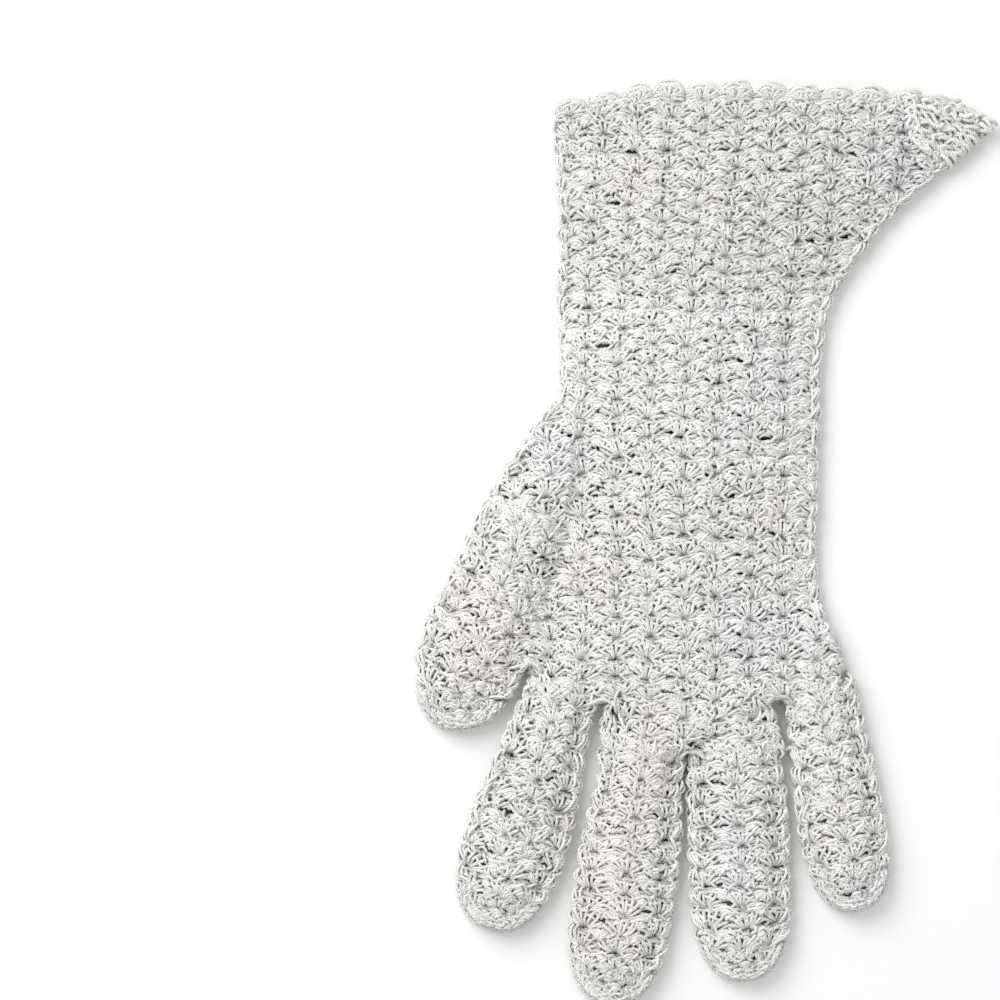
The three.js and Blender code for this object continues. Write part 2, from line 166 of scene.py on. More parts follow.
WRAPS = [
    [(-0.30, 0.58, -0.8), (-0.18, 0.70, -0.10), (-0.05, 0.62, -0.8)],
    [(0.04, 0.68, -0.8), (0.16, 0.64, -0.05), (0.30, 0.50, -0.8)],
    [(-0.14, 0.76, -0.9), (0.01, 0.86, -0.10), (0.14, 0.74, -0.9)],
]
# How the strands of a stitch are laid on the front and on the back, the loose loops where no lines
# are named: lines, share of the radius, brightness painted on them (painted light: the under strands
# lighter for light that passes through the cotton, the arches and lumps lighter for light on raised
# threads), sway, and pieces between two points
FRONT_LAYERS = (
    (FAN, 1.0, 0.02, 0.23, 2),
    (None, 0.9, 0.04, 0.1, 2),
    (WRAPS, 0.9, 0.04, 0.18, 2),
    # Painted highlight: the arches and lumps are painted a little lighter
    (ARCHES + LUMP, 1.05, 0.05, 0.18, 2),
    (BRIDGES, 1.0, 0.02, 0.16, 2),
    ([CHAIN], 1.05, 0.02, 0.10, 2),
    # Painted light: the deep under strands are painted lighter
    (UNDER, 1.5, 0.10, 0.12, 1),
)
BACK_LAYERS = (
    (FAN[::2] + FAN[7:], 1.15, 0.0, 0.11, 2),
    # Painted highlight: the arches and lumps are painted a little lighter
    (ARCHES + LUMP[1:3], 1.1, 0.04, 0.12, 2),
    # Painted light: the deep under strands are painted lighter
    (UNDER[1:2], 1.5, 0.1, 0.12, 1),
)
LOOSE_LOOPS = 4
# A loop where a row turns round a fold: along (share of the row) and depth
EDGE_LOOP = np.array([(0.0, -1.1), (0.26, -0.1), (0.55, 0.35), (0.85, 0.0), (1.05, -1.1)])
LOOP_SPACING = 1.2
# One link of a chain of plain stitches: along (share of the link), across and depth
LINK = [
    [(-0.15, 0.10, -1.0), (0.20, 0.62, -0.42), (0.68, 0.80, -0.35), (1.15, 0.38, -0.9)],
    [(-0.15, -0.10, -1.0), (0.20, -0.62, -0.42), (0.68, -0.80, -0.35), (1.15, -0.38, -0.9)],
    [(0.05, 1.25, -1.35), (0.40, 0.35, -0.75), (0.72, -0.50, -0.80), (0.95, -1.25, -1.35)],
]


def smooth_line(points, steps=2):
    """Catmull-Rom line through points of shape (strands, points, 3)."""
    before = 2 * points[:, :1] - points[:, 1:2]
    after = 2 * points[:, -1:] - points[:, -2:-1]
    knots = np.concatenate([before, points, after], axis=1)
    p0, p1, p2, p3 = (knots[:, k:k + points.shape[1] - 1, None] for k in range(4))
    t = (np.arange(steps) / steps)[None, None, :, None]
    body = 0.5 * (
        2 * p1 + (p2 - p0) * t + (2 * p0 - 5 * p1 + 4 * p2 - p3) * t**2
        + (3 * p1 - p0 - 3 * p2 + p3) * t**3
    )
    line = body.reshape(len(points), -1, points.shape[2])
    return np.concatenate([line, points[:, -1:]], axis=1)


def unit(vectors):
    """The same directions with the length one."""
    length = np.linalg.norm(vectors, axis=-1, keepdims=True)
    return vectors / np.maximum(length, 1e-9)


def painted_depth_shade(depth, rng):
    """Painted shade: strands deep in the stitch are darker than those on top of it, with a small
    random tone on each strand.
    """
    tone_and_painted_shading = np.interp(depth, [-2.0, -1.2, -0.5, 0.2], [-0.22, -0.10, 0.02, 0.08])
    return tone_and_painted_shading + rng.normal(0, 0.05, (len(depth), 1))


class Strands:
    """Collects swept strands and makes one piece of them."""

    def __init__(self, rng, radius, material):
        self.rng, self.radius, self.material = rng, radius, material
        self.verts, self.quads, self.caps = [], [], []
        self.uvs, self.painted_light_and_tone_lists = [], []
        self.count = 0

    def add(self, line, normal, share, painted_light_and_tone):
        """line and normal: (strands, points, 3). share: thickness as a share of the radius. The
        brightness of each point, painted light and shade with a small random tone: (strands, points)
        or (strands, 1). A strand torn across a gap is left out."""
        step = np.linalg.norm(np.diff(line, axis=1), axis=2)
        whole = step.max(axis=1) < LONGEST_STEP
        line = line[whole]
        if len(line) == 0:
            return
        strands, points = line.shape[:2]
        normal = normal[whole]
        painted_light_and_tone = np.broadcast_to(painted_light_and_tone, (len(whole), points))[whole]
        tangent = unit(np.gradient(line, axis=1))
        across = unit(np.cross(tangent, normal))
        up = unit(np.cross(across, tangent))
        turn = (2 * math.pi * np.arange(SIDES) / SIDES)[:, None]
        ring = across[:, :, None] * np.cos(turn) + up[:, :, None] * np.sin(turn)
        verts = line[:, :, None] + ring * (self.radius * share)
        base = self.count + np.arange(strands)[:, None, None] * points * SIDES
        along = np.arange(points - 1)[None, :, None] * SIDES
        side = np.arange(SIDES)[None, None, :]
        a = base + along + side
        b = base + along + (side + 1) % SIDES
        quads = np.stack([a, a + SIDES, b + SIDES, b], axis=-1)
        reach = np.concatenate([np.zeros((strands, 1)), np.cumsum(step[whole], axis=1)], axis=1)
        low, high = reach[:, :-1, None], reach[:, 1:, None]
        u = np.broadcast_arrays(low, high, high, low, a)[:4]
        v = np.broadcast_arrays(*(side / SIDES + turned for turned in (0, 0, 0.25, 0.25)), a)[:4]
        first = base[:, 0, 0][:, None] + np.arange(SIDES)[None]
        self.verts.append(verts.reshape(-1, 3))
        self.quads.append(quads.reshape(-1, 4))
        self.uvs.append(np.stack([np.stack(u, -1), np.stack(v, -1)], axis=-1).reshape(-1, 2))
        self.caps.append(np.concatenate([first, first[:, ::-1] + (points - 1) * SIDES]))
        self.painted_light_and_tone_lists.append(painted_light_and_tone.repeat(SIDES, axis=1).reshape(-1))
        self.count += strands * points * SIDES

    def finish(self, name, slot, node):
        """Makes one mesh of the strands, with the length along each in its UV map, sets it on the
        root and hides the node it stands for. The slot of its finish is not used."""
        verts = np.concatenate(self.verts) * TO_METRES
        verts[:, 2] = np.maximum(verts[:, 2], 0.0)
        caps = np.concatenate(self.caps)
        faces = np.concatenate([*self.quads, caps])
        loops = faces.ravel().astype(np.int32)
        starts = np.arange(len(faces), dtype=np.int32) * SIDES
        mesh = bpy.data.meshes.new(name)
        mesh.vertices.add(len(verts))
        mesh.vertices.foreach_set("co", verts.astype(np.float32).ravel())
        mesh.loops.add(len(loops))
        mesh.loops.foreach_set("vertex_index", loops)
        mesh.polygons.add(len(faces))
        mesh.polygons.foreach_set("loop_start", starts)
        mesh.polygons.foreach_set("use_smooth", np.ones(len(faces), bool))
        mesh.update(calc_edges=True)
        layer = mesh.uv_layers.new(name="strand")
        uv = np.concatenate([*self.uvs, np.zeros((caps.size, 2))])
        layer.data.foreach_set("uv", uv.astype(np.float32).ravel())
        # Brightness of each point: painted shade by depth and in the dimples, painted light on the
        # under strands and lumps, and a small random tone
        tone_and_painted_shading = mesh.attributes.new("tone_and_painted_shading", "FLOAT", "POINT")
        tone_and_painted_shading.data.foreach_set("value", np.concatenate(self.painted_light_and_tone_lists).astype(np.float32))
        mesh.materials.append(self.material)
        mesh.validate()
        obj = bpy.data.objects.new(name, mesh)
        bpy.context.scene.collection.objects.link(obj)
        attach(obj, "root")
        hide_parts(node)
        print(name, 2 * len(faces), "triangles")


def running_mean(values, window):
    padded = np.pad(values, window // 2, mode="edge")
    return np.convolve(padded, np.ones(window) / window, mode="valid")


class Relief:
    """Height of the shells' upper side, and the node seen from above, on a square grid."""

    step = 0.5
    margin = 8.0
    ray_height = 50.0
    carry = 44
    softening = 3

    def __init__(self):
        self.names = sorted(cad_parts)
        verts, faces, owners = [], [], []
        for k, name in enumerate(self.names):
            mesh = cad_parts[name].data
            first = len(verts)
            verts.extend(v.co / TO_METRES for v in mesh.vertices)
            for p in mesh.polygons:
                faces.append([first + i for i in p.vertices])
                owners.append(k)
        tree = BVHTree.FromPolygons(verts, faces)
        corners = np.array(verts)
        self.low = corners.min(axis=0)[:2] - self.margin
        high = corners.max(axis=0)[:2] + self.margin
        nx, ny = (np.ceil((high - self.low) / self.step).astype(int) + 1).tolist()
        self.last = (nx - 1, ny - 1)
        self.owner = np.full((ny, nx), -1)
        height = np.zeros((ny, nx))
        down = Vector((0, 0, -1))
        for j in range(ny):
            y = self.low[1] + j * self.step
            for i in range(nx):
                start = Vector((self.low[0] + i * self.step, y, self.ray_height))
                place, _, face, _ = tree.ray_cast(start, down)
                if place is not None:
                    height[j, i] = place.z
                    self.owner[j, i] = owners[face]
        core = self.owner >= 0
        self.cover = self.combine(core, np.logical_or)
        for k in range(round(FOLD_RADIUS / self.step)):
            core = self.combine(core, np.logical_and, k % 2 == 0)
        self.height = self.fill(np.where(core, self.combine(height, np.maximum), np.nan))

    @staticmethod
    def neighbours(grid, corners=True):
        """The grid moved by one step to each side, with or without the diagonal moves."""
        padded = np.pad(grid, 1, mode="edge")
        rows, columns = grid.shape
        for dy in (0, 1, 2):
            for dx in (0, 1, 2):
                if corners or dx == 1 or dy == 1:
                    yield padded[dy:dy + rows, dx:dx + columns]

    def combine(self, grid, choose, corners=True):
        """Each cell with its neighbours, so that a value or a mask spreads or shrinks."""
        out = grid
        for part in self.neighbours(grid, corners):
            out = choose(out, part)
        return out

    def fill(self, grid):
        """Carries the known heights outwards, and then softens the whole."""
        for _ in range(self.carry):
            parts = np.stack(list(self.neighbours(grid)))
            known = np.isfinite(parts)
            total = np.where(known, parts, 0).sum(axis=0)
            mean = total / np.maximum(known.sum(axis=0), 1)
            grid = np.where(np.isfinite(grid), grid, np.where(known.any(axis=0), mean, np.nan))
        grid = np.where(np.isfinite(grid), grid, 2 * FOLD_RADIUS)
        for _ in range(self.softening):
            grid = np.mean(np.stack(list(self.neighbours(grid))), axis=0)
        return grid

    def at(self, x, y):
        """Height of the upper side at points seen from above."""
        i = np.clip((x - self.low[0]) / self.step, 0, self.last[0] - 0.001)
        j = np.clip((y - self.low[1]) / self.step, 0, self.last[1] - 0.001)
        i0, j0 = i.astype(int), j.astype(int)
        fi, fj = i - i0, j - j0
        g = self.height
        low = g[j0, i0] * (1 - fi) + g[j0, i0 + 1] * fi
        high = g[j0 + 1, i0] * (1 - fi) + g[j0 + 1, i0 + 1] * fi
        return low * (1 - fj) + high * fj

    def cell(self, x, y):
        """Row and column of the cell in which each point lies."""
        i = np.clip(np.rint((x - self.low[0]) / self.step).astype(int), 0, self.last[0])
        j = np.clip(np.rint((y - self.low[1]) / self.step).astype(int), 0, self.last[1])
        return j, i

    def near(self, x, y):
        """Whether points lie on the glove seen from above, or less than a step off."""
        return self.cover[self.cell(x, y)]

    def on(self, x, y, names):
        """Whether points lie on one of the nodes seen from above."""
        return np.isin(self.owner[self.cell(x, y)], [self.names.index(n) for n in names])


class Limb:
    """A flattened tube of the glove: a middle line with the folds on its two sides."""

    station = 0.5
    probe = 0.25
    # Stations over which the slope at the start of a fold is taken, and its outline is softened
    slope = 16
    soften = 9

    def __init__(self, relief, nodes, start, tilt, bend, length, first, last, left, right):
        """left and right: the stretch on which each fold is read from the shells, and how far
        out it lies beyond that stretch, or None where it runs on straight. One number instead
        puts the fold that far out all along."""
        self.relief = relief
        self.stations = np.arange(first, last + 1e-6, self.station)
        share = np.clip(self.stations / length, 0, None)
        angle = np.radians(tilt + bend * share)
        self.along = np.stack([np.sin(angle), -np.cos(angle)], axis=1)
        steps = np.diff(self.stations, prepend=self.stations[0])[:, None]
        path = np.cumsum(self.along * steps, axis=0)
        zero = int(np.argmin(np.abs(self.stations)))
        self.axis = path - path[zero] + np.array(start)
        self.side = np.stack([-self.along[:, 1], self.along[:, 0]], axis=1)
        self.left = self.find_edge(nodes, -1, left)
        self.right = self.find_edge(nodes, 1, right)

    def find_edge(self, nodes, sign, stretch):
        """Distance from the middle line to the outline, the gaps between nodes bridged."""
        if isinstance(stretch, float):
            return np.full(len(self.stations), stretch)
        first, last, before, after = stretch
        reach = np.arange(0, 100, self.probe)
        x = self.axis[:, 0, None] + self.side[:, 0, None] * sign * reach
        y = self.axis[:, 1, None] + self.side[:, 1, None] * sign * reach
        inside = self.relief.on(x, y, nodes)
        wide = inside.copy()
        wide[:, 1:] |= inside[:, :-1]
        wide[:, 2:] |= inside[:, :-2]
        out = ~wide
        out[:, -1] = True
        edge = reach[np.argmax(out, axis=1)] - 2 * self.probe
        low = self.stations < first
        high = self.stations > last
        k0 = int(low.sum())
        k1 = len(edge) - int(high.sum()) - 1
        rise = (edge[k0] - edge[k0 + self.slope]) / (self.slope * self.station)
        edge[low] = edge[k0] + rise * (first - self.stations[low]) if before is None else before
        edge[high] = edge[k1] if after is None else after
        return running_mean(edge, self.soften)

    def read(self, table, d):
        """A value of a table by stations, or of each of its columns, at distances along."""
        if table.ndim == 1:
            return np.interp(d, self.stations, table)
        return np.stack([np.interp(d, self.stations, column) for column in table.T], axis=-1)

    def plan(self, across, d):
        """The point at a distance across and along the limb, seen from above."""
        ahead = np.expand_dims(d - np.clip(d, self.stations[0], self.stations[-1]), -1)
        point = self.read(self.axis, d) + self.read(self.along, d) * ahead
        point = point + self.read(self.side, d) * np.expand_dims(across, -1)
        return point[..., 0], point[..., 1]

    def surface(self, s, d, back):
        """s follows the cloth across the limb and round its folds."""
        edge = np.where(s > 0, self.read(self.right, d), self.read(self.left, d))
        radius = np.minimum(FOLD_RADIUS, 0.8 * edge)
        flat = edge - radius
        over = np.maximum(np.abs(s) - flat, 0)
        angle = np.minimum(over / radius, math.pi)
        rest = over - angle * radius
        reach = np.minimum(np.abs(s), flat) + radius * np.sin(angle) - rest
        x, y = self.plan(np.sign(s) * reach, d)
        top = self.relief.at(x, y)
        near_top = (1 + np.cos(angle)) / 2 if not back else (1 - np.cos(angle)) / 2
        height = radius * 2 * near_top + (top - 2 * radius) * near_top**2
        return np.stack([x, y, height], axis=-1)

    def place(self, s, d, h, back, e=0.4):
        """Points at heights over the cloth, and the directions out of it. e: half the stretch
        from which a direction is taken."""
        ds = self.surface(s + e, d, back) - self.surface(s - e, d, back)
        dd = self.surface(s, d + e, back) - self.surface(s, d - e, back)
        n = unit(np.cross(dd, ds)) * (-1 if back else 1)
        return self.surface(s, d, back) + n * h[..., None], n


class Grid:
    """Where the shell stitches stand on one side of a limb."""

    # Slow waves of the rows and of the columns: size, turns across and along, and phase
    row_waves = ((0.35, 0.31, 0.17, 0.0), (0.3, -0.11, 0.23, 1.3))
    column_waves = ((0.3, 0.0, 0.29, 0.4), (0.25, 0.37, 0.0, 2.0))
    # Area of the painted shade in the dimple at the foot of a fan
    dimple_shade_area = 1.1

    def __init__(self, limb, back, s, d, width, row, lean=np.zeros_like, fits=None):
        self.limb, self.back, self.lean, self.fits = limb, back, lean, fits
        self.s, self.d = s[:, None], d[:, None]
        self.width, self.row = (np.broadcast_to(size, s.shape)[:, None] for size in (width, row))
        rng = np.random.default_rng(len(s) * 7 + int(back))
        self.turn = rng.normal(0, 0.12, (len(s), 1))
        self.lift = rng.normal(0, 0.19, (len(s), 1))
        self.grow = rng.normal([[1.05], [1.09]], 0.06, (2, len(s)))[..., None]
        self.slide = rng.normal(0, [[0.28], [0.19]], (2, len(s)))[..., None]
        # Painted shade: how much darker each stitch is painted in its dimple
        self.dimple_shade = rng.uniform(0.05, 0.45, (len(s), 1))

    def lay(self, strands, table, share, painted_light_and_tone, sway, steps):
        """Lays one strand of the table on every stitch of the grid."""
        rng = strands.rng
        count = len(self.s)
        if count == 0:
            return
        table = np.asarray(table, float)
        u, v, h = columns(np.broadcast_to(table, (count, *table.shape[-2:])))
        jitter = rng.normal(0, sway, (3, *u.shape))
        jitter[:2, :, 0] *= 0.4
        points = [u * self.width + jitter[0], v * self.row + jitter[1], h + jitter[2] * 0.7]
        u, v, h = columns(smooth_line(np.stack(points, axis=-1), steps))
        # Painted shade in the dimple: darkest at the foot of the fan on each row line
        above = v - self.row * np.round(v / self.row)
        dimple_shade_mask = np.exp(-(u**2 + above**2) / self.dimple_shade_area)
        middle = self.row * 0.5
        du = u * self.grow[0]
        dv = (v - middle) * self.grow[1]
        cos, sin = np.cos(self.turn), np.sin(self.turn)
        d = self.d - (sin * du + cos * dv + middle + self.slide[1])
        u = cos * du - sin * dv + self.slide[0]
        s = self.s + u + self.lean(d) - self.lean(self.d)
        d = waved(d, self.row_waves, s, d)
        s = waved(s, self.column_waves, s, d)
        h = h + self.lift
        place, normal = self.limb.place(s, d, h, self.back)
        whole = self.fits(s, d, place).all(axis=1) if self.fits else np.full(count, True)
        # Brightness: the layer's painted light, less the painted shade in the dimple, plus painted
        # shade by depth and a random tone
        tone_and_painted_shading = painted_light_and_tone - self.dimple_shade * dimple_shade_mask + painted_depth_shade(h, rng)
        strands.add(place[whole], normal[whole], share, tone_and_painted_shading[whole])


def columns(points):
    """The three coordinates of points, each as an array of its own."""
    return np.moveaxis(points, -1, 0)


def waved(distance, waves, s, d):
    for size, across, along, phase in waves:
        distance = distance + size * np.sin(across * s + along * d + phase)
    return distance


def loose_loops(count, rng):
    """A short arc for each stitch, at a place and an angle of its own."""
    middle = rng.uniform((-0.5, 0.25), (0.5, 1.05), (count, 2))
    angle = rng.uniform(0, math.pi, count)
    half = np.stack([np.cos(angle) * 0.13, np.sin(angle) * 0.22], axis=-1)
    ends = np.stack([middle - half, middle + half * 0.1, middle + half], axis=1)
    ends[:, 1] += rng.normal(0, 0.05, (count, 2))
    depth = np.broadcast_to([-0.9, 0.0, -0.9], (count, 3))
    return np.concatenate([ends, depth[..., None]], axis=-1)


def lay_shells(grid, strands):
    """One shell stitch on every place of the grid, with fewer strands on the back."""
    for lines, share, painted_light_and_tone, sway, steps in BACK_LAYERS if grid.back else FRONT_LAYERS:
        if not lines:
            lines = (loose_loops(len(grid.s), strands.rng) for _ in range(LOOSE_LOOPS))
        for line in lines:
            grid.lay(strands, line, share, painted_light_and_tone, sway, steps)


def lay_edge_loops(strands, limb, lines, row, sides=(-1, 1), reach=3.0):
    """Loops that each row makes where it turns round a fold."""
    rng = strands.rng
    count = len(lines)
    if count == 0:
        return
    share, depth = EDGE_LOOP.T
    for side in sides:
        edge = limb.right if side > 0 else limb.left
        for offset in np.arange(-reach, reach + 0.1, LOOP_SPACING):
            size = row * rng.uniform(0.75, 1.05, (count, 1))
            d = lines[:, None] - share * size + rng.normal(0, 0.55, (count, 1))
            h = depth + rng.normal(0, 0.16, (count, len(depth)))
            slant = (share - 0.5) * rng.normal(0.8, 1.6, (count, 1))
            s, d, h = columns(smooth_line(np.stack([FOLD_EXTRA + offset + slant, d, h], axis=-1)))
            place, normal = limb.place(side * (limb.read(edge, d) + s), d, h, False)
            strands.add(place, normal, 1.0, painted_depth_shade(h, rng))


def add_node(tree, kind, inputs, **settings):
    """A shader node with its settings. Each input takes a value, or a socket to link to."""
    node = tree.nodes.new(kind)
    for name, value in settings.items():
        setattr(node, name, value)
    for name, value in inputs.items():
        if isinstance(value, bpy.types.NodeSocket):
            tree.links.new(value, node.inputs[name])
        else:
            node.inputs[name].default_value = value
    return node


def cotton(name, colour, settings):
    """Matt twisted cotton: ply twist along each strand, with painted shade in the grooves between the
    plies, fine fuzz and small colour changes.
    """
    material = bpy.data.materials.new(name)
    material.use_nodes = True
    tree = material.node_tree

    def arithmetic(operation, *values):
        node = add_node(tree, "ShaderNodeMath", dict(enumerate(values)), operation=operation)
        return node.outputs["Value"]

    def noise(scale, detail):
        inputs = {"Vector": place.outputs["Object"], "Scale": scale, "Detail": detail}
        return add_node(tree, "ShaderNodeTexNoise", inputs).outputs["Fac"]

    place = add_node(tree, "ShaderNodeTexCoord", {})
    uv = add_node(tree, "ShaderNodeUVMap", {}, uv_map="strand")
    split = add_node(tree, "ShaderNodeSeparateXYZ", {"Vector": uv.outputs["UV"]})
    along = arithmetic("MULTIPLY", split.outputs["X"], 1.0 / settings.ply_pitch / 1000)
    turn = arithmetic("MULTIPLY_ADD", split.outputs["Y"], 3.0, along)
    cycle = arithmetic("PINGPONG", turn, 0.5)
    height = arithmetic("MULTIPLY_ADD", noise(2600, 2), 0.6, cycle)
    bump = add_node(tree, "ShaderNodeBump",
                    {"Strength": 0.8, "Distance": 0.0004, "Height": height})
    # Painted shade: the grooves between the plies are darkened
    ply_groove_shade = add_node(tree, "ShaderNodeMapRange",
                   {"Value": cycle, "From Min": 0.0, "From Max": 0.30, "To Min": -0.40,
                    "To Max": 0.07})
    tone_and_painted_shading = add_node(tree, "ShaderNodeAttribute", {}, attribute_name="tone_and_painted_shading")
    patches_and_groove_shade = arithmetic("MULTIPLY_ADD", noise(38, 3), 0.12, ply_groove_shade.outputs["Result"])
    # Brightness: random patches, painted shade in the ply grooves, and the per-point painted light
    # and shade
    value = arithmetic("ADD", arithmetic("ADD", patches_and_groove_shade, tone_and_painted_shading.outputs["Fac"]), 1.0)
    red, green, blue = colour
    tint = add_node(tree, "ShaderNodeMix",
                    {"Factor": noise(22, 1), "A": (red * 1.04, green, blue * 0.96, 1),
                     "B": (red * 0.96, green, blue * 1.04, 1)}, data_type="RGBA")
    paint = add_node(tree, "ShaderNodeMix",
                     {"Factor": 1.0, "A": tint.outputs["Result"], "B": value},
                     data_type="RGBA", blend_type="MULTIPLY")
    shader = tree.nodes["Principled BSDF"]
    shader.inputs["Roughness"].default_value = 0.82
    shader.inputs["Specular IOR Level"].default_value = 0.3
    shader.inputs["Sheen Weight"].default_value = 0.12
    shader.inputs["Sheen Roughness"].default_value = 0.5
    tree.links.new(bump.outputs["Normal"], shader.inputs["Normal"])
    tree.links.new(paint.outputs["Result"], shader.inputs["Base Color"])
    return material


def begin(context, offset, name, colour="cotton_colour"):
    """The sizes, and a maker of strands in the cotton of one group of pieces."""
    settings = context.scene.glove
    rng = np.random.default_rng(settings.seed + offset)
    radius = settings.strand / TO_METRES / 2
    material = cotton(name, getattr(settings, colour), settings)
    return settings, partial(Strands, rng, radius, material)


def length_value(name, description, default):
    return FloatProperty(
        name=name, description=description, default=default, unit="LENGTH", precision=5)


def colour_value(name, description, default):
    return FloatVectorProperty(
        name=name, description=description, default=default, subtype="COLOR", size=3, min=0,
        max=1)


class GloveSettings(bpy.types.PropertyGroup):
    """Sizes and colours of the stitches."""

    strand: length_value("Strand", "Thickness of one strand", 0.00092)
    stitch_width: length_value("Stitch width", "Width of one shell stitch on the hand", 0.0094)
    palm_row: length_value("Palm row", "Height of one row on the hand", 0.0056)
    cuff_row: length_value("Cuff row", "Height of one row on the cuff", 0.0049)
    ply_pitch: length_value("Ply pitch", "Length along a strand from one ply to the next", 0.0010)
    cotton_colour: colour_value("Cotton", "Colour of the cotton", (0.845, 0.84, 0.815))
    cuff_colour: colour_value("Cuff cotton", "Colour of the cotton of the cuff", (0.785, 0.782, 0.76))
    tip_colour: colour_value(
        "Tip cotton", "Colour of the cotton at the fingertips", (0.825, 0.835, 0.815))
    seed: IntProperty(name="Seed", description="Seed of the small irregularities", default=7)


class StageSettings(bpy.types.PropertyGroup):
    """The floor, the light and the camera."""

    floor_colour: colour_value("Floor", "Colour of the floor", (0.93, 0.93, 0.93))
    key_power: FloatProperty(
        name="Key light", description="Power of the main soft light", default=8.2,
        unit="POWER")
    fill_level: FloatProperty(
        name="Surrounding light", description="Strength of the light from all round",
        default=0.71)
    camera_height: length_value("Camera height", "Height of the camera over the floor", 1.1)
    view_width: length_value("View width", "Width of the view on the floor", 0.28)


@cache
def relief():
    return Relief()


@cache
def body_limb():
    """Cuff and hand as one tube, with the distance measured down from the wrist."""
    return Limb(
        relief(), ["cuff", "hand", "cuff_edging", "thumb_gusset"], (MIDDLE_X, WRIST_Y),
        0.0, 0.0, 100.0, -66.0, 130.0, (-45.0, 72.0, None, 45.6), (-44.0, 98.0, None, None))


@cache
def finger_limb(name):
    """A finger or the thumb with its round end, the distance measured from its root."""
    x, y, tilt, bend, length, left, right = FINGERS[name]
    nodes = ["thumb" if name == "thumb" else f"{name}_finger", f"{name}_tip", "hand"]
    last = length - 3
    limb = Limb(
        relief(), nodes, (x, y), tilt, bend, length, -20.0, length,
        (left / 1.25 + 0.5, last, None, None), (right / 1.25 + 0.5, last, None, None))
    reach = round_end(limb, length)[1]
    ahead = np.clip(1 - (length - limb.stations) / reach, 0, 0.8)
    full = (1 - ahead**FULLNESS) ** (1 / FULLNESS) / np.sqrt(1 - ahead**2)
    limb.left *= full
    limb.right *= full
    if name in SWELL:
        side, places, reaches = SWELL[name]
        edge = limb.left if side < 0 else limb.right
        edge += np.interp(limb.stations, places, reaches)
    return limb


def round_end(limb, length):
    """Half the width of a finger before its round end, and the length of that end."""
    half = float(limb.read(limb.left, length - 20) + limb.read(limb.right, length - 20)) / 2
    return half, min(ROUND_END * 2 * half, length * 0.9)


@cache
def gusset_limb():
    """The gusset in line with the thumb: a fold on its free side, and none towards the palm."""
    x, y, tilt, bend, length, _, _ = FINGERS["thumb"]
    return Limb(
        relief(), ["thumb", "thumb_gusset", "hand"], (x, y), tilt, bend, length, -46.0, 10.0,
        (-38.0, 4.0, None, None), 60.0)


def body_lean(d):
    """How far the columns of the cuff lean to the right above the wrist."""
    up = np.maximum(28.0 - d, 0)
    return 0.065 * up + 0.0004 * np.maximum(-d, 0) ** 2


def body_rows(settings):
    """Distances of the rows' lower lines from the wrist, from the mouth to the knuckles."""
    palm = settings.palm_row / TO_METRES
    cuff = settings.cuff_row / TO_METRES
    lines = [FIRST_LINE]
    while lines[-1] < KNUCKLES:
        lines.append(lines[-1] + palm)
    while lines[0] > MOUTH:
        ease = min(max((lines[0] - GROWTH[0]) / GROWTH[1], 0), 1)
        lines.insert(0, lines[0] - (cuff + (palm - cuff) * ease * 0.5))
    return np.array(lines)


def thumb_frame(x, y):
    """Distance along and across the thumb's root direction."""
    rx, ry, tilt = FINGERS["thumb"][:3]
    angle = math.radians(tilt)
    along = (math.sin(angle), -math.cos(angle))
    dx = x - rx
    dy = y - ry
    return dx * along[0] + dy * along[1], dx * -along[1] + dy * along[0]


def over_shells(s, d, place):
    """Whether strands lie over the glove's shells, at their points and between them."""
    between = [place[:, 1:] * share + place[:, :-1] * (1 - share) for share in (0.33, 0.67)]
    line = np.concatenate([place, *between], axis=1)
    return relief().near(line[..., 0], line[..., 1])


def body_grid(settings, back, nodes, low, high):
    """Shell stitches of the cuff and the hand whose centres lie on the given nodes."""
    limb = body_limb()
    width = settings.stitch_width / TO_METRES
    rows = body_rows(settings)
    centre = (rows[:-1] + rows[1:]) / 2
    height = rows[1:] - rows[:-1]
    s, d = np.meshgrid(np.arange(-11, 14) * width + COLUMNS[back], np.arange(len(centre)))
    row = height[d]
    line = rows[1:][d]
    mid = centre[d]
    s = s + body_lean(mid)
    edge_left = limb.read(limb.left, mid) + FOLD_EXTRA
    edge_right = limb.read(limb.right, mid) + FOLD_EXTRA
    inside = (s > -edge_left - PAST_FOLD * width) & (s < edge_right + 0.42 * width)
    reach = np.clip(s, -edge_left + FOLD_INSET, edge_right - FOLD_INSET)
    x, y = limb.plan(reach, mid)
    near = np.zeros(x.shape, bool)
    for dx, dy in ((0, 0), (2, 0), (-2, 0), (0, 3.2)):
        near |= relief().on(x + dx, y + dy, nodes)
    keep = inside & near & (mid > low) & (mid <= high)
    along, across = thumb_frame(x, y)
    keep &= ~((along > GUSSET_TOP + 2) & (across < GUSSET_SIDE - 5))
    return Grid(limb, back, s[keep], line[keep], width, row[keep], body_lean, over_shells)


def finger_grid(settings, name, back):
    """Shell stitches of a finger in rows across it, from its root to its tip."""
    limb = finger_limb(name)
    start = -1.5
    end = FINGERS[name][4] - TIP_LENGTH + 0.8
    count = max(2, round((end - start) / (settings.palm_row / TO_METRES)))
    row = (end - start) / count
    s, d, width = [], [], []
    for line in start + (np.arange(count) + 1) * row:
        mid = line - row / 2
        left = limb.read(limb.left, mid) + FOLD_EXTRA
        right = limb.read(limb.right, mid) + FOLD_EXTRA
        across = max(2, round((left + right) / FINGER_STITCH))
        step = (left + right) / across
        s.extend(-left + step * (np.arange(across) + 0.5))
        d.extend([line] * across)
        width.extend([step] * across)
    return Grid(limb, back, np.array(s), np.array(d), np.array(width), row)


